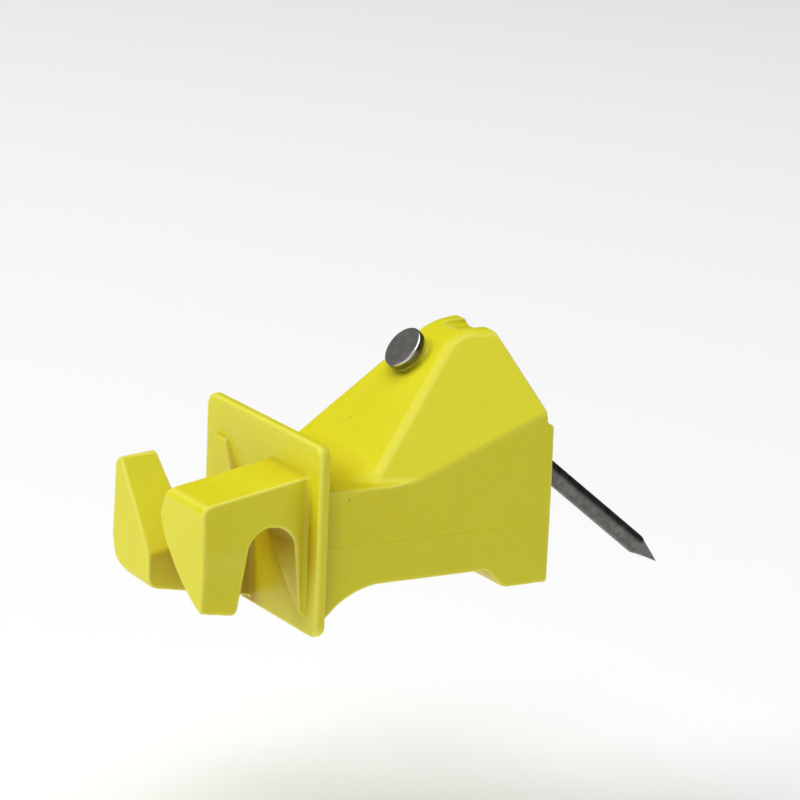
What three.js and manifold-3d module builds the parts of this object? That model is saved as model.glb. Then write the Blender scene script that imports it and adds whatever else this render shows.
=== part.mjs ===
// Slant-nail fence insulator for a wooden post: one hollow plastic moulding and the steel nail that holds it.
// Millimetres. +Z is up, -Y points away from the post towards the fence wire, +X is to the side.
// The origin lies on the face that rests against the post, level with the mould's parting plane.
import * as THREE from 'three';
import { mergeVertices } from 'three/addons/utils/BufferGeometryUtils.js';
import Module from 'manifold-3d';

const wasm = await Module();
wasm.setup();

// Flange: the rounded plate that keeps the wire away from the arm.
const FLANGE_FRONT_Y = -42;
const FLANGE_THICKNESS = 1.8;
const FLANGE_WIDTH = 36;
const FLANGE_TOP_Z = 16.9;
const FLANGE_BOTTOM_Z = -12.8;
const FLANGE_CORNER_RADIUS = 2.2;

// Arm and post block.
const ARM_HALF_WIDTH_FRONT = 14.75;
const ARM_HALF_WIDTH_REAR = 16.4;
const ARM_TOP_Z = 8.8;
const ARM_BOTTOM_Z = -6.4;
const FOOT_Z = -9.5;
const FOOT_START_Y = -10.9;
const RIDGE_FOOT_Y = -30.7;
const PLATEAU_Z = 28.6;
const PLATEAU_BACK_Y = -5.1;
const GROOVE_X = 0.1;
const GROOVE_WIDTH = 5.6;
const GROOVE_DEPTH = 1;
const GROOVE_SLOPE = 0.16;
const RIM_STEP_DEPTH = 1.1;
const RIM_STEP_LOW_Z = 15.4;
const RIM_STEP_HIGH_Z = 16;
const RIM_TOP_Z = 17.4;
const RIDGE_HALF_WIDTH_LOW = 13.1;
const RIDGE_HALF_WIDTH_HIGH = 4.1;
const FLARE_LENGTH = 6;
const EDGE_CHAMFER = 0.6;

// Coring of the post block, open towards the post.
const WALL = 2.4;
const CORE_FRONT_Y = -30;
const RIB_HALF_THICKNESS = 1;

// Wire hooks in front of the flange.
const HOOK_FRONT_Y = -59.4;
const HOOK_ROOT_Y = FLANGE_FRONT_Y + 0.6;
const SLOT_BACK_Y = -44;
const SLOT_FRONT_Y = -51.7;
const SLOT_CROWN_Z = 4.4;
const SLOT_CORNER_RADIUS = 3.2;
const SLOT_TIP_FRONT_Y = -54.2;
const SLOT_TIP_BACK_Y = -42.3;
const SLOT_REACH_Z = -14;
const HOOK_GAP_X = -0.9;
const HOOK_OUTER_X = 16;

// Nail, driven through the sloping ridge and down into the post.
const NAIL_SLOPE = (39 * Math.PI) / 180;
const NAIL_X = -1;
const NAIL_RIDGE_Y = -15.5;
const NAIL_PAD_RADIUS = 3.5;
const NAIL_PAD_HEIGHT = 0.8;
const NAIL_BOSS_RADIUS = 4.6;
const NAIL_BORE_RADIUS = 2;
const NAIL_LENGTH = 63.5;
const NAIL_SHANK_RADIUS = 1.65;
const NAIL_HEAD_RADIUS = 3.55;
const NAIL_HEAD_THICKNESS = 1.4;
const NAIL_POINT_LENGTH = 5;
const SEAT_GAP = 0.35;

const PLASTIC = new THREE.MeshStandardMaterial({ color: '#d8d026', roughness: 0.42, metalness: 0 });
const STEEL = new THREE.MeshStandardMaterial({ color: '#4d4b49', roughness: 0.38, metalness: 0.9 });

// ---- closed shapes ----

function asSolid(geometry, matrix) {
  const bare = geometry.index ? geometry.toNonIndexed() : geometry.clone();
  bare.deleteAttribute('normal');
  bare.deleteAttribute('uv');
  if (matrix) bare.applyMatrix4(matrix);
  const merged = mergeVertices(bare, 1e-5);
  return new wasm.Manifold(new wasm.Mesh({
    numProp: 3,
    vertProperties: Float32Array.from(merged.attributes.position.array),
    triVerts: Uint32Array.from(merged.index.array),
  }));
}

function asGeometry(solid) {
  const mesh = solid.getMesh();
  const geometry = new THREE.BufferGeometry();
  geometry.setAttribute('position', new THREE.BufferAttribute(mesh.vertProperties, 3));
  geometry.setIndex(new THREE.BufferAttribute(mesh.triVerts, 1));
  return geometry.toNonIndexed();
}

// Joins two outlines of equal length, given as [x, z] pairs, into a solid between two Y planes.
function loftAlongY(front, frontY, back, backY) {
  const faces = THREE.ShapeUtils.triangulateShape(front.map(([x, z]) => new THREE.Vector2(x, z)), []);
  const near = front.map(([x, z]) => [x, frontY, z]);
  const far = back.map(([x, z]) => [x, backY, z]);
  const points = [];
  for (const [a, b, c] of faces) {
    points.push(...near[a], ...near[b], ...near[c]);
    points.push(...far[a], ...far[c], ...far[b]);
  }
  for (let i = 0; i < near.length; i += 1) {
    const j = (i + 1) % near.length;
    points.push(...near[i], ...far[i], ...far[j]);
    points.push(...near[i], ...far[j], ...near[j]);
  }
  const geometry = new THREE.BufferGeometry();
  geometry.setAttribute('position', new THREE.Float32BufferAttribute(points, 3));
  return asSolid(geometry);
}

// Extrudes a shape drawn in the (y, z) plane across X.
function extrudeAcross(shape, fromX, toX) {
  const depth = toX - fromX;
  const geometry = new THREE.ExtrudeGeometry(shape, { depth, bevelEnabled: false, curveSegments: 14 });
  const turn = new THREE.Matrix4().makeBasis(
    new THREE.Vector3(0, 1, 0),
    new THREE.Vector3(0, 0, 1),
    new THREE.Vector3(1, 0, 0),
  );
  return asSolid(geometry, turn.setPosition(fromX, 0, 0));
}

function outline(points) {
  return new THREE.Shape(points.map(([y, z]) => new THREE.Vector2(y, z)));
}

function block(low, high) {
  const size = high.map((value, axis) => value - low[axis]);
  const middle = high.map((value, axis) => (value + low[axis]) / 2);
  return asSolid(new THREE.BoxGeometry(...size), new THREE.Matrix4().makeTranslation(...middle));
}

// Everything on the outer side of the plane through three points, as a large block.
function beyondPlane(a, b, c, inset = 0) {
  const plane = new THREE.Plane().setFromCoplanarPoints(a, b, c);
  const reach = 120;
  const turn = new THREE.Quaternion().setFromUnitVectors(new THREE.Vector3(0, 0, 1), plane.normal);
  const centre = a.clone().addScaledVector(plane.normal, reach / 2 - inset);
  const matrix = new THREE.Matrix4().compose(centre, turn, new THREE.Vector3(1, 1, 1));
  return asSolid(new THREE.BoxGeometry(reach, reach, reach), matrix);
}

// ---- nail axis ----

const ridgeHeight = (y) => ARM_TOP_Z + (y - RIDGE_FOOT_Y);
const nailFoot = new THREE.Vector3(NAIL_X, NAIL_RIDGE_Y, ridgeHeight(NAIL_RIDGE_Y));
const nailOut = new THREE.Vector3(0, -Math.cos(NAIL_SLOPE), Math.sin(NAIL_SLOPE));
const nailTurn = new THREE.Quaternion().setFromUnitVectors(new THREE.Vector3(0, 1, 0), nailOut);

function rodOnNailAxis(radius, from, to, segments) {
  const geometry = new THREE.CylinderGeometry(radius, radius, to - from, segments);
  const centre = nailFoot.clone().addScaledVector(nailOut, (from + to) / 2);
  return asSolid(geometry, new THREE.Matrix4().compose(centre, nailTurn, new THREE.Vector3(1, 1, 1)));
}

// ---- post block ----

// Side outline of the arm and the post block, shrunk by inset for the coring.
function postBlockSide() {
  const back = FLANGE_FRONT_Y + FLANGE_THICKNESS - 0.3;
  return outline([
    [back, FLANGE_BOTTOM_Z + EDGE_CHAMFER],
    [back + 0.9, FLANGE_BOTTOM_Z + EDGE_CHAMFER + 0.3],
    [back + 0.9 + FLARE_LENGTH, ARM_BOTTOM_Z - 0.3],
    [back + 3 + FLARE_LENGTH, ARM_BOTTOM_Z],
    [FOOT_START_Y, ARM_BOTTOM_Z],
    [FOOT_START_Y + ARM_BOTTOM_Z - FOOT_Z, FOOT_Z],
    [-EDGE_CHAMFER, FOOT_Z],
    [0, FOOT_Z + EDGE_CHAMFER],
    [0, RIM_STEP_LOW_Z],
    [-RIM_STEP_DEPTH, RIM_STEP_HIGH_Z],
    [-RIM_STEP_DEPTH, RIM_TOP_Z],
    [PLATEAU_BACK_Y, PLATEAU_Z],
    [RIDGE_FOOT_Y + PLATEAU_Z - ARM_TOP_Z, PLATEAU_Z],
    [RIDGE_FOOT_Y, ARM_TOP_Z],
    [back, ARM_TOP_Z],
  ]);
}

function coreSide() {
  const slope = WALL * Math.SQRT2;
  return outline([
    [CORE_FRONT_Y, ARM_BOTTOM_Z + WALL],
    [FOOT_START_Y + WALL, ARM_BOTTOM_Z + WALL],
    [FOOT_START_Y + WALL + ARM_BOTTOM_Z - FOOT_Z, FOOT_Z + WALL],
    [1, FOOT_Z + WALL],
    [1, PLATEAU_Z - WALL],
    [RIDGE_FOOT_Y + slope + PLATEAU_Z - WALL - ARM_TOP_Z, PLATEAU_Z - WALL],
    [CORE_FRONT_Y, ARM_TOP_Z + CORE_FRONT_Y - RIDGE_FOOT_Y - slope],
  ]);
}

// Narrows a block to the arm's plan, which widens slightly towards the post.
function planTaper(inset) {
  const frontY = FLANGE_FRONT_Y;
  const section = (half) => [[-half, -40], [half, -40], [half, 60], [-half, 60]];
  const growth = (ARM_HALF_WIDTH_REAR - ARM_HALF_WIDTH_FRONT) / -frontY;
  const rear = ARM_HALF_WIDTH_REAR - inset;
  return loftAlongY(section(rear + growth * frontY), frontY, section(rear + growth * 2), 2);
}

// The two sloping cheeks that fall from the ridge to the side walls.
function cheek(side, inset) {
  const low = new THREE.Vector3(side * RIDGE_HALF_WIDTH_LOW, RIDGE_FOOT_Y, ARM_TOP_Z);
  const high = new THREE.Vector3(
    side * RIDGE_HALF_WIDTH_HIGH,
    RIDGE_FOOT_Y + PLATEAU_Z - ARM_TOP_Z,
    PLATEAU_Z,
  );
  const back = new THREE.Vector3(side * ARM_HALF_WIDTH_REAR, -RIM_STEP_DEPTH, RIM_TOP_Z);
  const outside = side > 0 ? beyondPlane(low, back, high, inset) : beyondPlane(low, high, back, inset);
  return outside.subtract(block([-60, -90, -60], [60, 30, ARM_TOP_Z - inset]));
}

// Groove in the plateau that deepens towards the post.
function plateauGroove() {
  const run = GROOVE_DEPTH / GROOVE_SLOPE;
  const side = outline([
    [PLATEAU_BACK_Y - run, PLATEAU_Z],
    [PLATEAU_BACK_Y + run, PLATEAU_Z - 2 * GROOVE_DEPTH],
    [PLATEAU_BACK_Y + run, PLATEAU_Z + 5],
    [PLATEAU_BACK_Y - run, PLATEAU_Z + 5],
  ]);
  return extrudeAcross(side, GROOVE_X - GROOVE_WIDTH / 2, GROOVE_X + GROOVE_WIDTH / 2);
}

function postBlock() {
  const span = ARM_HALF_WIDTH_REAR + 4;
  const outer = extrudeAcross(postBlockSide(), -span, span)
    .intersect(planTaper(0))
    .subtract(cheek(1, 0))
    .subtract(cheek(-1, 0));
  const core = extrudeAcross(coreSide(), -span, span)
    .intersect(planTaper(WALL))
    .subtract(cheek(1, WALL))
    .subtract(cheek(-1, WALL));
  const ribs = block([-RIB_HALF_THICKNESS, CORE_FRONT_Y - 1, -20], [RIB_HALF_THICKNESS, 5, 40])
    .add(block([-30, CORE_FRONT_Y - 1, -RIB_HALF_THICKNESS], [30, 5, RIB_HALF_THICKNESS]))
    .add(rodOnNailAxis(NAIL_BOSS_RADIUS, -40, 2, 32));
  const ribsInside = ribs.intersect(outer);
  return outer
    .subtract(core)
    .add(ribsInside)
    .add(rodOnNailAxis(NAIL_PAD_RADIUS, -1, NAIL_PAD_HEIGHT, 40))
    .subtract(plateauGroove());
}

// ---- flange and hooks ----

function flange() {
  const half = FLANGE_WIDTH / 2;
  const r = FLANGE_CORNER_RADIUS;
  const shape = new THREE.Shape();
  shape.moveTo(-half + r, FLANGE_BOTTOM_Z);
  shape.absarc(half - r, FLANGE_BOTTOM_Z + r, r, -Math.PI / 2, 0, false);
  shape.absarc(half - r, FLANGE_TOP_Z - r, r, 0, Math.PI / 2, false);
  shape.absarc(-half + r, FLANGE_TOP_Z - r, r, Math.PI / 2, Math.PI, false);
  shape.absarc(-half + r, FLANGE_BOTTOM_Z + r, r, Math.PI, Math.PI * 1.5, false);
  const plate = new THREE.ExtrudeGeometry(shape, {
    depth: FLANGE_THICKNESS - 2 * 0.4,
    bevelEnabled: true,
    bevelThickness: 0.4,
    bevelSize: 0.4,
    bevelOffset: -0.4,
    bevelSegments: 2,
    curveSegments: 5,
  });
  const stand = new THREE.Matrix4().makeRotationX(Math.PI / 2);
  return asSolid(plate, stand.setPosition(0, FLANGE_FRONT_Y + FLANGE_THICKNESS - 0.4, 0));
}

// The hook that hangs down on the +X side: outline at the front face and at the flange.
function downHook() {
  const front = [[0.6, 4.4], [1.5, 2], [4, -1.1], [8.9, -5.2], [13.4, -7.5], [14.3, -7.7], [14.6, 0],
    [14.4, 8.8], [2.6, 8.8]];
  const root = [[0.9, 7], [2.6, 3.6], [5.6, 0], [11, -6.2], [13.2, -10.3], [14.3, -10.8], [14.6, 0],
    [14.4, 11.8], [2.6, 11.8]];
  return loftAlongY(front, HOOK_FRONT_Y, root, HOOK_ROOT_Y).subtract(wireSlot(1));
}

// The hook that stands up on the -X side.
function upHook() {
  const front = [[-12.7, 9.6], [-14.3, 8.7], [-14.9, -3.2], [-13.9, -6.6], [-10.3, -8.3], [-2.5, -8.6],
    [-2.5, -3.4]];
  const root = [[-10.6, 11.2], [-14.3, 11.2], [-14.9, -3.2], [-14.2, -8.8], [-11, -11.7], [-1.9, -11.9],
    [-1.9, -0.4]];
  return loftAlongY(front, HOOK_FRONT_Y, root, HOOK_ROOT_Y).subtract(wireSlot(-1));
}

// Arched slot that the wire lies in: open downwards for side 1 and upwards for side -1.
function wireSlot(side) {
  const r = SLOT_CORNER_RADIUS;
  const centre = side * (SLOT_CROWN_Z - r);
  const quarter = (side * Math.PI) / 2;
  const shape = new THREE.Shape();
  shape.moveTo(SLOT_TIP_BACK_Y, side * SLOT_REACH_Z);
  shape.lineTo(SLOT_BACK_Y, centre);
  shape.absarc(SLOT_BACK_Y - r, centre, r, 0, quarter, side < 0);
  shape.absarc(SLOT_FRONT_Y + r, centre, r, quarter, quarter * 2, side < 0);
  shape.lineTo(SLOT_TIP_FRONT_Y, side * SLOT_REACH_Z);
  const inner = side > 0 ? HOOK_GAP_X : -HOOK_OUTER_X;
  const outer = side > 0 ? HOOK_OUTER_X : HOOK_GAP_X;
  return extrudeAcross(shape, inner, outer);
}

// ---- the two pieces ----

function insulatorBody() {
  const solid = postBlock()
    .add(flange())
    .add(downHook())
    .add(upHook())
    .subtract(rodOnNailAxis(NAIL_BORE_RADIUS, -60, 10, 32));
  const mesh = new THREE.Mesh(asGeometry(solid), PLASTIC);
  mesh.name = 'insulator_body';
  return mesh;
}

function nail() {
  const seat = NAIL_PAD_HEIGHT + SEAT_GAP;
  const top = seat + NAIL_HEAD_THICKNESS;
  const tip = seat - NAIL_LENGTH;
  const profile = [
    [0, tip],
    [NAIL_SHANK_RADIUS, tip + NAIL_POINT_LENGTH],
    [NAIL_SHANK_RADIUS, seat],
    [NAIL_HEAD_RADIUS - 0.25, seat],
    [NAIL_HEAD_RADIUS, seat + 0.3],
    [NAIL_HEAD_RADIUS, top - 0.35],
    [NAIL_HEAD_RADIUS - 0.35, top],
    [0, top],
  ];
  const geometry = new THREE.LatheGeometry(profile.map(([r, h]) => new THREE.Vector2(r, h)), 40);
  const mesh = new THREE.Mesh(geometry, STEEL);
  mesh.name = 'nail';
  mesh.position.copy(nailFoot);
  mesh.quaternion.copy(nailTurn);
  return mesh;
}

const insulator = new THREE.Group();
insulator.add(insulatorBody());
insulator.add(nail());

export default insulator;
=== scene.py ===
"""Looks of the slant-nail fence insulator: the finely filleted plastic moulding, the steel nail, the studio.

The moulding is worked out as a distance field in millimetres, in the same frame as the CAD model, and turned
into a mesh whose points lie exactly on the filleted surface.
"""
import math

import bpy
import numpy as np
from mathutils import Matrix, Vector


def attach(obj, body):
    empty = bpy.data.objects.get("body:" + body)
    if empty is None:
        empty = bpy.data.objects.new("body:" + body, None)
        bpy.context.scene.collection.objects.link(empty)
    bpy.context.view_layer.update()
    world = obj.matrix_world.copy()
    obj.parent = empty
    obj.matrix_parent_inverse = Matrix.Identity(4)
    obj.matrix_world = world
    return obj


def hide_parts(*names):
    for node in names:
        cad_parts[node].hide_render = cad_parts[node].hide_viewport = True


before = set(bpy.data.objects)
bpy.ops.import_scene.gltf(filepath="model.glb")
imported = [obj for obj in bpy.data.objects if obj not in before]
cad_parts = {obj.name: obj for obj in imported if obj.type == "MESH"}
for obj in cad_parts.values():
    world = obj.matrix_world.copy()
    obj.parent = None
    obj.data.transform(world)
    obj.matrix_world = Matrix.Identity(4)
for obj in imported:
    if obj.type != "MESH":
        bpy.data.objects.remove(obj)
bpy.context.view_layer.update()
scene = bpy.context.scene
scene.view_settings.view_transform = "Standard"

MM = 0.001
GRID_STEP = 0.3
ROOT2 = math.sqrt(2)

# Main sizes in millimetres, as in the CAD model.
FLANGE_FRONT, FLANGE_BACK = -42.0, -40.2
HOOK_FRONT, HOOK_ROOT = -59.4, -41.4
ARM_TOP, ARM_BOTTOM = 8.8, -6.4
FOOT = -9.5
RIDGE_RISE = 39.5
PLATEAU = 28.6
WALL = 2.4
CORE_FRONT = -30.0
NAIL_FOOT = np.array([-1.0, -15.5, 24.0])
NAIL_OUT = np.array([0.0, -math.cos(math.radians(39)), math.sin(math.radians(39))])
PAD_HEIGHT = 0.8
PAD_RADIUS = 2.8
BOSS_RADIUS = 4.6
BORE_RADIUS = 2.0
RIB_HALF = 0.95
SIDE_HALF_REAR, SIDE_SPREAD, SIDE_DRAFT = 16.4, 0.0393, 0.0148
GROOVE_X, GROOVE_HALF_WIDTH, GROOVE_DEPTH, GROOVE_SLOPE = 0.1, 2.8, 1.0, 0.16
PLATEAU_BACK = -5.1
HALF_FLANGE = 18
SLOT_CROWN = 4.4
SLOT_RADIUS = 3.2

# Nail sizes in millimetres.
NAIL_LENGTH = 63.5
HEAD_RADIUS = 3.55
HEAD_THICKNESS = 1.4
SHANK_RADIUS = 1.65
POINT_LENGTH = 5.6
SEAT_GAP = 0.35

AIM = (0, -0.03, 0.008)
WORLD_STRENGTH = 0.02
LIGHTS = [
    ("key", (-0.62, -1.9, 2.1), (1.75, 1.75), 45),
    ("top", (0.25, 0.0, 2.75), (2.2, 2.2), 36),
    ("front", (-0.3, -2.6, 0.25), (1.5, 1.2), 1.5),
    ("fill", (1.3, -1.2, 2.7), (1.5, 1.5), 20),
]


# ---- distance field ----

def both(a, b, r=0.0):
    """Where both shapes are, with the edge between them rounded to radius r."""
    if np.isscalar(r) and r <= 0:
        return np.maximum(a, b)
    corner = np.hypot(np.maximum(a + r, 0), np.maximum(b + r, 0))
    return np.minimum(-r, np.maximum(a, b)) + corner


def either(a, b, r=0.0):
    """Where either shape is, with the corner between them filled to radius r."""
    return -both(-a, -b, r)


def half_space(p, point, normal):
    n = np.asarray(normal, float)
    n = n / np.linalg.norm(n)
    return (p[0] - point[0]) * n[0] + (p[1] - point[1]) * n[1] + (p[2] - point[2]) * n[2]


def cheek(p, side):
    """The sloping plane from the ridge down to one side wall."""
    low = np.array([13.1, -30.7, ARM_TOP])
    high = np.array([4.1, -10.7, PLATEAU])
    back = np.array([16.4, -1.1, 17.4])
    n = np.cross(back - low, high - low)
    mirror = np.array([side, 1, 1])
    return half_space(p, low * mirror, n * mirror)


def side_walls(p):
    """Both walls: they spread towards the post and draw in above and below the parting plane."""
    return np.abs(p[0]) - (SIDE_HALF_REAR + SIDE_SPREAD * p[1]) + SIDE_DRAFT * np.abs(p[2])


def nail_axis(p):
    """Height along the nail axis above the ridge, and distance from the axis."""
    q = [p[i] - NAIL_FOOT[i] for i in range(3)]
    along = q[1] * NAIL_OUT[1] + q[2] * NAIL_OUT[2]
    across = q[1] * NAIL_OUT[2] - q[2] * NAIL_OUT[1]
    return along, np.hypot(q[0], across)


def shell_without_back(p):
    """The arm and the post block as one solid that is open-ended towards the post."""
    x, y, z = p
    ridge = (z - y - RIDGE_RISE) / ROOT2
    upper = both(both(ridge, z - PLATEAU, 2.2), both(cheek(p, 1), cheek(p, -1), 0.4), 0.9)
    outward = np.clip((np.abs(x) - 9) / 5, 0, 1)
    top = either(z - ARM_TOP, upper, 3.0 - 2.1 * outward * outward * (3 - 2 * outward))
    foot = both(FOOT - z, -(y + z + 17.3) / ROOT2, 0.4)
    flare = both((0.965 * (y + 39.6) - (z + 12)) / 1.39, -12.2 - z, 0.3)
    bottom = either(either(ARM_BOTTOM - z, foot, 0.3), flare, 3.0)
    return both(both(top, side_walls(p), 0.35), bottom, 0.4)


def back_faces(p):
    """The faces that rest on the post, and the upper one that leans away from it."""
    _, y, z = p
    rest = both(y, (0.6 * y + 1.1 * (z - 15.4)) / 1.253, 0.3)
    lean = ((y + 1.1) * 11.4 + (z - 17.4) * 4) / 12.08
    return either(rest, both(y + 1.1, lean, 0.5), 0.2)


def post_block(p):
    x, y, z = p
    shell = shell_without_back(p)
    back = back_faces(p)
    outer = both(both(shell, back, 0.4), FLANGE_FRONT + 1 - y, 0.0)
    core = both(shell + WALL, CORE_FRONT - y, 0.8)
    along, off_axis = nail_axis(p)
    boss = both(off_axis - BOSS_RADIUS, along - 2, 0.0)
    ribs = either(either(np.abs(x) - RIB_HALF, np.abs(z) - RIB_HALF, 0.5), boss, 0.6)
    hollow = both(core, -ribs, 0.5)
    block = both(outer, -hollow, 0.25)
    pad = both(off_axis - PAD_RADIUS, np.maximum(along - PAD_HEIGHT, -1.5 - along), 0.2)
    groove_floor = PLATEAU - GROOVE_DEPTH - GROOVE_SLOPE * (y - PLATEAU_BACK)
    groove = both(np.abs(x - GROOVE_X) - GROOVE_HALF_WIDTH, groove_floor - z, 0.9)
    groove = both(groove, -(y + 12), 1.2)
    return both(either(block, pad, 0.7), -groove, 0.3)


def flange(p):
    x, y, z = p
    middle, half = 2.05, 14.85
    corner = 2.2
    qx = np.abs(x) - HALF_FLANGE + corner
    qz = np.abs(z - middle) - half + corner
    plate = np.hypot(np.maximum(qx, 0), np.maximum(qz, 0)) + np.minimum(np.maximum(qx, qz), 0) - corner
    thickness = np.maximum(FLANGE_FRONT - y, y - FLANGE_BACK)
    return both(plate, thickness, 0.6)


def loft(p, front, root, radii):
    """Convex outlines in (x, z), blended from the hooks' front to the flange, with rounded long edges."""
    x, y, z = p
    t = (y - HOOK_FRONT) / (HOOK_ROOT - HOOK_FRONT)
    shape = None
    count = len(front)
    for i in range(count):
        j = (i + 1) % count
        ax = front[i][0] + (root[i][0] - front[i][0]) * t
        az = front[i][1] + (root[i][1] - front[i][1]) * t
        bx = front[j][0] + (root[j][0] - front[j][0]) * t
        bz = front[j][1] + (root[j][1] - front[j][1]) * t
        length = np.hypot(bx - ax, bz - az)
        edge = ((x - ax) * (bz - az) - (z - az) * (bx - ax)) / length
        shape = edge if shape is None else both(shape, edge, radii[i])
    return shape


def slot(p, side):
    """The wire slot: open downwards for side 1, upwards for side -1."""
    _, y, z = p
    z = z * side
    finger_side = (-(y + 51.7) * 15.2 + (z - 1.2) * 2.5) / 15.4
    flange_side = ((y + 44) * 15.2 + (z - 1.2) * 1.7) / 15.3
    return both(both(flange_side, z - SLOT_CROWN, SLOT_RADIUS), finger_side, SLOT_RADIUS)


def down_hook(p):
    front = [(0.6, 4.4), (1.5, 2), (4, -1.1), (8.9, -5.2), (13.4, -7.5), (14.3, -7.7), (14.6, 0), (14.4, 8.8),
             (2.6, 8.8)]
    root = [(0.9, 7), (2.6, 3.6), (5.6, 0), (11, -6.2), (13.2, -10.3), (14.3, -10.8), (14.6, 0), (14.4, 11.8),
            (2.6, 11.8)]
    radii = [0, 0.8, 0.8, 0.8, 0.6, 0.4, 0.05, 0.5, 0.7]
    body = loft(p, front, root, radii)
    top_front = both(HOOK_FRONT - p[1], p[2] - (8.8 + (p[1] - HOOK_FRONT) / 6), 1.5)
    body = both(both(body, top_front, 0.45), p[1] - HOOK_ROOT, 0)
    tip_floor = -(p[2] + 7.6) - (p[1] - HOOK_FRONT) * 0.172
    tip = both(tip_floor, -slot(p, 1), 1.3)
    body = both(body, np.minimum(tip, -(p[1] + 48)), 0.3)
    return both(body, -slot(p, 1), 0.35)


def up_hook(p):
    front = [(-12.7, 9.6), (-14.3, 8.7), (-14.9, -3.2), (-13.9, -6.6), (-10.3, -8.3), (-2.5, -8.6),
             (-2.5, -3.4)]
    root = [(-10.6, 11.2), (-14.3, 11.2), (-14.9, -3.2), (-14.2, -8.8), (-11, -11.7), (-1.9, -11.9),
            (-1.9, -0.4)]
    radii = [0, 0.9, 0.3, 0.8, 0.8, 0.5, 0.35]
    body = loft(p, front, root, radii)
    bottom_front = both(HOOK_FRONT - p[1], -(p[2] + 8.6) - (p[1] - HOOK_FRONT) * 0.18, 1.8)
    body = both(both(body, bottom_front, 0.4), p[1] - HOOK_ROOT, 0)
    tip = both(p[2] - 9.6 - 0.089 * (p[1] - HOOK_FRONT), -slot(p, -1), 0.5)
    body = both(body, np.minimum(tip, -(p[1] + 48)), 0.3)
    return both(body, -slot(p, -1), 0.35)


def insulator(p):
    hooks = either(down_hook(p), up_hook(p), 0)
    body = either(either(post_block(p), flange(p), 0.9), hooks, 0.7)
    along, off_axis = nail_axis(p)
    return both(body, BORE_RADIUS - off_axis, 0.3)


# ---- mesh of the moulding ----

def surface_net(field, low, step):
    """One point per cell that the surface crosses and one quad per crossed grid edge."""
    inside = field < 0
    total = np.zeros(tuple(n - 1 for n in field.shape) + (3,))
    count = np.zeros(tuple(n - 1 for n in field.shape))
    crossings = []
    for axis in range(3):
        a = [slice(None)] * 3
        b = [slice(None)] * 3
        a[axis] = slice(None, -1)
        b[axis] = slice(1, None)
        va, vb = field[tuple(a)], field[tuple(b)]
        hit = inside[tuple(a)] != inside[tuple(b)]
        at = np.argwhere(hit)
        fa, fb = va[hit], vb[hit]
        where = at.astype(float)
        where[:, axis] += fa / (fa - fb)
        crossings.append((axis, at, fa < 0))
        others = [k for k in range(3) if k != axis]
        for da in (0, 1):
            for db in (0, 1):
                cell = at.copy()
                cell[:, others[0]] -= da
                cell[:, others[1]] -= db
                good = ((cell >= 0) & (cell < np.array(count.shape))).all(1)
                c = tuple(cell[good].T)
                np.add.at(total, c, where[good])
                np.add.at(count, c, 1)
    used = count > 0
    index = -np.ones(count.shape, int)
    index[used] = np.arange(used.sum())
    points = total[used] / count[used][:, None] * step + low
    quads = []
    for axis, at, leaving in crossings:
        u, v = [(1, 2), (2, 0), (0, 1)][axis]
        corner = []
        for du, dv in ((1, 1), (0, 1), (0, 0), (1, 0)):
            cell = at.copy()
            cell[:, u] -= du
            cell[:, v] -= dv
            corner.append(index[tuple(cell.T)])
        quad = np.stack(corner, 1)
        quad[~leaving] = quad[~leaving][:, ::-1]
        quads.append(quad)
    return points, np.concatenate(quads)


def gradient(points, reach):
    g = np.zeros_like(points)
    for axis in range(3):
        ahead, behind = points.copy(), points.copy()
        ahead[:, axis] += reach
        behind[:, axis] -= reach
        g[:, axis] = (insulator(list(ahead.T)) - insulator(list(behind.T))) / (2 * reach)
    return g


def convexity(points, reach):
    """Positive on outer edges and corners, negative in inner ones."""
    total = -6 * insulator(list(points.T))
    for axis in range(3):
        for way in (-reach, reach):
            moved = points.copy()
            moved[:, axis] += way
            total = total + insulator(list(moved.T))
    return total / reach


def shelter(points, normals):
    """How far the surface is closed in from above: 0 in the open, 1 deep in a slot."""
    # This measure is used to paint shade into the plastic's colour.
    off_normal = np.where(np.abs(normals[:, :1]) < 0.6, [[1.0, 0.0, 0.0]], [[0.0, 1.0, 0.0]])
    u = np.cross(normals, off_normal)
    u /= np.linalg.norm(u, axis=1, keepdims=True)
    v = np.cross(normals, u)
    closed = np.zeros(len(points))
    total = np.zeros(len(points))
    for k in range(7):
        rise = 1.0 if k == 6 else 0.6
        lean = math.sqrt(1 - rise * rise)
        way = normals * rise + lean * (u * math.cos(k * math.pi / 3) + v * math.sin(k * math.pi / 3))
        weight = np.maximum(0.5 + way[:, 2], 0.05)
        total += weight
        for reach, share in ((1.5, 0.1), (4.0, 0.2), (9.0, 0.35), (14.0, 0.35)):
            free = insulator(list((points + way * reach).T)) / (reach * rise)
            closed += weight * share * np.clip(1 - free, 0, 1)
    return closed / total


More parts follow.
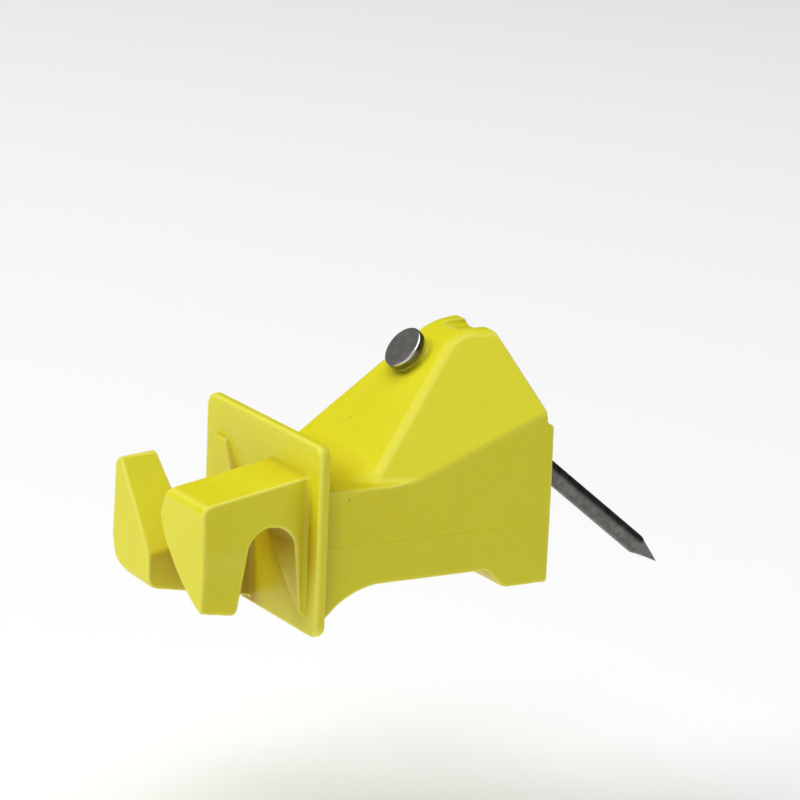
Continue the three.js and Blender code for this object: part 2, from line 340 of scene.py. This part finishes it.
def make_body():
    low = np.array([-18.6, -60.0, -13.4])
    high = np.array([18.6, 0.6, 29.8])
    axes = [np.arange(low[k], high[k] + GRID_STEP, GRID_STEP) for k in range(3)]
    grid = np.meshgrid(*axes, indexing="ij", sparse=True)
    shape = tuple(len(a) for a in axes)
    field = np.broadcast_to(insulator(grid), shape)
    points, quads = surface_net(field, low, GRID_STEP)
    for _ in range(4):
        value = insulator(list(points.T))
        g = gradient(points, 0.01)
        step = value[:, None] * g / np.maximum((g * g).sum(1), 0.2)[:, None]
        length = np.linalg.norm(step, axis=1, keepdims=True)
        points = points - step * np.minimum(1, 0.1 / np.maximum(length, 1e-9))
    normals = gradient(points, 0.03)
    normals /= np.maximum(np.linalg.norm(normals, axis=1, keepdims=True), 1e-9)
    mesh = bpy.data.meshes.new("moulded_body")
    mesh.from_pydata((points * MM).tolist(), [], quads.tolist())
    mesh.validate()
    mesh.polygons.foreach_set("use_smooth", np.ones(len(mesh.polygons), bool))
    # The edge attribute lightens the plastic along outer edges: partly wear whitening, partly painted
    # highlight.
    edges = np.clip(convexity(points, 0.4), -1, 1)
    # The shelter attribute paints shade into the plastic: darker and browner deep in slots and hollows.
    for name, value in (("edge", edges), ("shelter", shelter(points, normals))):
        layer = mesh.attributes.new(name, "FLOAT", "POINT")
        layer.data.foreach_set("value", value.astype(np.float32))
    mesh.normals_split_custom_set_from_vertices(normals.tolist())
    obj = bpy.data.objects.new("moulded_body", mesh)
    scene.collection.objects.link(obj)
    return obj


# ---- nail ----

def make_nail():
    """Flat-headed common nail, built along +Z from its seat and turned onto the bore's axis."""
    seat = PAD_HEIGHT + SEAT_GAP
    top = seat + HEAD_THICKNESS
    tip = seat - NAIL_LENGTH
    shank = SHANK_RADIUS
    head = HEAD_RADIUS
    sides = 96
    profile = [(0.0, top - 0.03), (0.8, top - 0.02), (2.2, top)]
    for k in range(9):
        a = math.pi / 2 * (1 - k / 8)
        profile.append((head - 0.34 + 0.34 * math.cos(a), top - 0.34 + 0.34 * math.sin(a)))
    for k in range(7):
        a = -math.pi / 2 * k / 6
        profile.append((head - 0.3 + 0.3 * math.cos(a), seat + 0.3 + 0.3 * math.sin(a)))
    for k in range(6):
        a = math.pi / 2 * k / 5
        profile.append((shank + 0.3 - 0.3 * math.sin(a), seat - 0.3 + 0.3 * math.cos(a)))
    rows = 90
    for k in range(1, rows + 1):
        profile.append((shank, seat - 0.3 - (NAIL_LENGTH - 0.3 - POINT_LENGTH) * k / rows))
    points_on_tip = 14
    for k in range(1, points_on_tip + 1):
        t = k / points_on_tip
        profile.append((shank * (1 - t) + 0.06 * t, tip + POINT_LENGTH * (1 - t) + 0.12 * t))
    verts, faces = [(0, 0, top - 0.03)], []
    for r, h in profile[1:]:
        for s in range(sides):
            a = 2 * math.pi * s / sides
            radius = r
            if h < seat - 2 and h > seat - 14 and abs(math.sin(a)) > 0.8:
                radius -= 0.07 * (0.5 + 0.5 * math.cos(2 * math.pi * h / 1.3))
            if h < tip + POINT_LENGTH:
                t = (tip + POINT_LENGTH - h) / POINT_LENGTH
                fold = math.cos(((a + math.pi / 4) % (math.pi / 2)) - math.pi / 4)
                radius = r * (1 - t + t * 0.8 / fold)
            verts.append((radius * math.cos(a), radius * math.sin(a), h))
    rings = len(profile) - 1
    for s in range(sides):
        n = (s + 1) % sides
        faces.append((0, 1 + s, 1 + n))
        for k in range(rings - 1):
            base = 1 + k * sides
            faces.append((base + s, base + sides + s, base + sides + n, base + n))
        last = 1 + (rings - 1) * sides
        faces.append((last + n, last + s, len(verts)))
    verts.append((0, 0, tip))
    mesh = bpy.data.meshes.new("steel_nail")
    mesh.from_pydata([tuple(c * MM for c in v) for v in verts], [], faces)
    mesh.polygons.foreach_set("use_smooth", [True] * len(mesh.polygons))
    turn = Vector((0, 0, 1)).rotation_difference(Vector(NAIL_OUT)).to_matrix().to_4x4()
    mesh.transform(Matrix.Translation(Vector(NAIL_FOOT * MM)) @ turn)
    face = mesh.attributes.new("face", "FLOAT", "POINT")
    face.data.foreach_set("value", [1.0 if v[2] > top - 0.06 else 0.0 for v in verts])
    # The rim marks the head's bevel, where a glint is painted into the nail's colour.
    rim = mesh.attributes.new("rim", "FLOAT", "POINT")
    rim.data.foreach_set("value", [1.0 if top - 0.3 < v[2] < top - 0.05 else 0.0 for v in verts])
    obj = bpy.data.objects.new("steel_nail", mesh)
    scene.collection.objects.link(obj)
    return obj


# ---- materials ----

def new_material(name):
    material = bpy.data.materials.new(name)
    material.use_nodes = True
    tree = material.node_tree
    tree.nodes.clear()
    out = tree.nodes.new("ShaderNodeOutputMaterial")
    shader = tree.nodes.new("ShaderNodeBsdfPrincipled")
    tree.links.new(shader.outputs[0], out.inputs[0])
    return material, tree, shader


class Nodes:
    """Short calls for the nodes that the materials use."""

    def __init__(self, tree):
        self.tree = tree

    def put(self, kind, **settings):
        node = self.tree.nodes.new(kind)
        for key, value in settings.items():
            if key in node.inputs:
                node.inputs[key].default_value = value
            else:
                setattr(node, key, value)
        return node

    def link(self, a, b):
        self.tree.links.new(a, b)

    def noise(self, vector, scale, detail=2.0, roughness=0.5):
        node = self.put("ShaderNodeTexNoise", Scale=scale, Detail=detail, Roughness=roughness)
        self.link(vector, node.inputs["Vector"])
        return node.outputs["Fac"]

    def map(self, value, low, high, to_low, to_high, smooth=True):
        node = self.put("ShaderNodeMapRange")
        node.interpolation_type = "SMOOTHSTEP" if smooth else "LINEAR"
        self.link(value, node.inputs["Value"])
        for key, number in (("From Min", low), ("From Max", high), ("To Min", to_low), ("To Max", to_high)):
            node.inputs[key].default_value = number
        return node.outputs["Result"]

    def math(self, operation, a, b):
        node = self.put("ShaderNodeMath", operation=operation)
        for socket, value in zip(node.inputs, (a, b)):
            if isinstance(value, (int, float)):
                socket.default_value = value
            else:
                self.link(value, socket)
        return node.outputs[0]

    def mix(self, factor, a, b):
        node = self.put("ShaderNodeMix", data_type="RGBA")
        self.link(factor, node.inputs["Factor"])
        for socket, value in ((node.inputs[6], a), (node.inputs[7], b)):
            if isinstance(value, tuple):
                socket.default_value = value
            else:
                self.link(value, socket)
        return node.outputs[2]

    def bump(self, height, strength, distance, normal=None):
        node = self.put("ShaderNodeBump", Strength=strength, Distance=distance)
        self.link(height, node.inputs["Height"])
        if normal is not None:
            self.link(normal, node.inputs["Normal"])
        return node.outputs["Normal"]


def yellow_plastic():
    material, tree, shader = new_material("moulded_yellow_plastic")
    n = Nodes(tree)
    place = n.put("ShaderNodeTexCoord").outputs["Object"]
    xyz = n.put("ShaderNodeSeparateXYZ")
    n.link(place, xyz.inputs[0])
    edge = n.put("ShaderNodeAttribute", attribute_name="edge").outputs["Fac"]

    cloud = n.noise(place, 55, 3)
    colour = n.mix(n.map(cloud, 0.3, 0.7, 0, 1), (0.77, 0.715, 0.010, 1), (0.79, 0.74, 0.014, 1))
    fine = n.noise(place, 900, 4, 0.6)
    colour = n.mix(n.map(fine, 0.35, 0.75, 0, 0.35), colour, (0.82, 0.77, 0.03, 1))
    # Lighter along outer edges: partly wear whitening, partly a painted highlight where light catches the
    # edges.
    colour = n.mix(n.map(edge, 0.18, 0.7, 0, 0.34), colour, (0.90, 0.87, 0.22, 1))
    shelter = n.put("ShaderNodeAttribute", attribute_name="shelter").outputs["Fac"]
    # Painted shade: the colour turns darker and browner where the surface is closed in, deepest in the slots
    # under the hooks.
    colour = n.mix(n.map(shelter, 0.16, 0.6, 0, 0.97, False), colour, (0.44, 0.29, 0.003, 1))
    speck_cells = n.put("ShaderNodeTexVoronoi", Scale=330.0)
    n.link(place, speck_cells.inputs["Vector"])
    speck_pick = n.put("ShaderNodeSeparateColor")
    n.link(speck_cells.outputs["Color"], speck_pick.inputs[0])
    near = n.map(speck_cells.outputs["Distance"], 0.055, 0.11, 1, 0)
    rare = n.map(speck_pick.outputs[0], 0.978, 0.982, 0, 0.75)
    colour = n.mix(n.math("MULTIPLY", near, rare), colour, (0.20, 0.15, 0.02, 1))
    n.link(colour, shader.inputs["Base Color"])

    rough = n.map(n.noise(place, 320, 3, 0.6), 0.3, 0.7, 0.36, 0.46)
    n.link(rough, shader.inputs["Roughness"])
    shader.inputs["IOR"].default_value = 1.5
    shader.inputs["Specular IOR Level"].default_value = 0.38
    shader.inputs["Subsurface Weight"].default_value = 0.22
    shader.inputs["Subsurface Radius"].default_value = (1.0, 0.75, 0.06)
    shader.inputs["Subsurface Scale"].default_value = 0.0016

    facing = n.put("ShaderNodeSeparateXYZ")
    n.link(n.put("ShaderNodeNewGeometry").outputs["True Normal"], facing.inputs[0])
    sideways = n.map(n.math("ABSOLUTE", facing.outputs[0], 0), 0.85, 0.97, 0, 1)
    ridge = n.map(n.math("ABSOLUTE", xyz.outputs[2], 0), 0.00005, 0.00028, 1, 0)
    parting = n.math("MULTIPLY", sideways, ridge)
    normal = n.bump(parting, 0.5, 0.00006)
    normal = n.bump(n.noise(place, 70, 2), 0.35, 0.0005, normal)
    normal = n.bump(n.noise(place, 2600, 3, 0.6), 0.10, 0.00003, normal)
    n.link(normal, shader.inputs["Normal"])
    return material


def nail_steel():
    material, tree, shader = new_material("nail_steel")
    n = Nodes(tree)
    place = n.put("ShaderNodeTexCoord").outputs["Object"]
    face = n.put("ShaderNodeAttribute", attribute_name="face").outputs["Fac"]
    cloud = n.noise(place, 700, 5, 0.65)
    bare = n.mix(n.map(cloud, 0.3, 0.75, 0, 1), (0.19, 0.185, 0.175, 1), (0.25, 0.245, 0.235, 1))
    scale = n.mix(n.map(cloud, 0.3, 0.75, 0, 1), (0.11, 0.105, 0.10, 1), (0.20, 0.195, 0.185, 1))
    colour = n.mix(face, scale, bare)
    pits = n.noise(place, 2400, 3, 0.6)
    colour = n.mix(n.map(pits, 0.6, 0.75, 0, 0.4), colour, (0.12, 0.09, 0.07, 1))
    xyz = n.put("ShaderNodeSeparateXYZ")
    n.link(place, xyz.inputs[0])
    # Painted highlight: a near-white glint painted on the head's bevel, on one side only.
    glint_side = n.map(xyz.outputs[0], -0.0012, 0.0016, 0, 1)
    rim = n.put("ShaderNodeAttribute", attribute_name="rim").outputs["Fac"]
    rim = n.math("MULTIPLY", rim, glint_side)
    colour = n.mix(n.map(rim, 0.2, 0.9, 0, 1), colour, (0.86, 0.85, 0.82, 1))
    n.link(colour, shader.inputs["Base Color"])
    n.link(n.map(face, 0, 1, 0.95, 0.55), shader.inputs["Metallic"])
    n.link(n.map(cloud, 0.3, 0.7, 0.27, 0.38), shader.inputs["Roughness"])
    normal = n.bump(n.noise(place, 1100, 4, 0.6), 0.25, 0.00005)
    n.link(normal, shader.inputs["Normal"])
    return material


def pale_floor():
    material, _, shader = new_material("pale_floor")
    shader.inputs["Base Color"].default_value = (0.94, 0.94, 0.94, 1)
    shader.inputs["Roughness"].default_value = 0.9
    shader.inputs["Emission Color"].default_value = (1, 1, 1, 1)
    shader.inputs["Emission Strength"].default_value = 0.16
    return material


# ---- studio ----

def make_camera():
    data = bpy.data.cameras.new("camera")
    data.sensor_width = 36
    data.lens = 157.5
    data.clip_start = 0.01
    data.clip_end = 50
    camera = bpy.data.objects.new("camera", data)
    ahead = Vector((-0.82455, 0.50528, -0.25460)).normalized()
    right = Vector((0.51274, 0.85755, 0.04134)).normalized()
    up = right.cross(ahead)
    right = ahead.cross(up)
    turn = Matrix((right, up, -ahead)).transposed()
    camera.matrix_world = Matrix.Translation(Vector((443.45, -289.75, 154.30)) * MM) @ turn.to_4x4()
    scene.collection.objects.link(camera)
    scene.camera = camera


def area_light(name, place, size, power):
    data = bpy.data.lights.new(name, "AREA")
    data.shape = "RECTANGLE"
    data.size, data.size_y = size
    data.energy = power
    light = bpy.data.objects.new(name, data)
    light.location = place
    light.rotation_mode = "QUATERNION"
    light.rotation_quaternion = (Vector(AIM) - Vector(place)).to_track_quat("-Z", "Y")
    scene.collection.objects.link(light)


def make_studio():
    mesh = bpy.data.meshes.new("floor")
    half = 6.0
    height = -0.055
    corners = [(-half, -half, height), (half, -half, height), (half, half, height), (-half, half, height)]
    mesh.from_pydata(corners, [], [(0, 1, 2, 3)])
    floor = bpy.data.objects.new("floor", mesh)
    mesh.materials.append(pale_floor())
    scene.collection.objects.link(floor)
    world = bpy.data.worlds.new("studio")
    world.use_nodes = True
    background = world.node_tree.nodes["Background"]
    background.inputs["Color"].default_value = (1, 1, 1, 1)
    background.inputs["Strength"].default_value = WORLD_STRENGTH
    scene.world = world
    for name, place, size, power in LIGHTS:
        area_light(name, place, size, power)


make_camera()
body = make_body()
body.data.materials.append(yellow_plastic())
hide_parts("insulator_body")
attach(body, "insulator")

nail = make_nail()
nail.data.materials.append(nail_steel())
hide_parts("nail")
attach(nail, "nail")

make_studio()
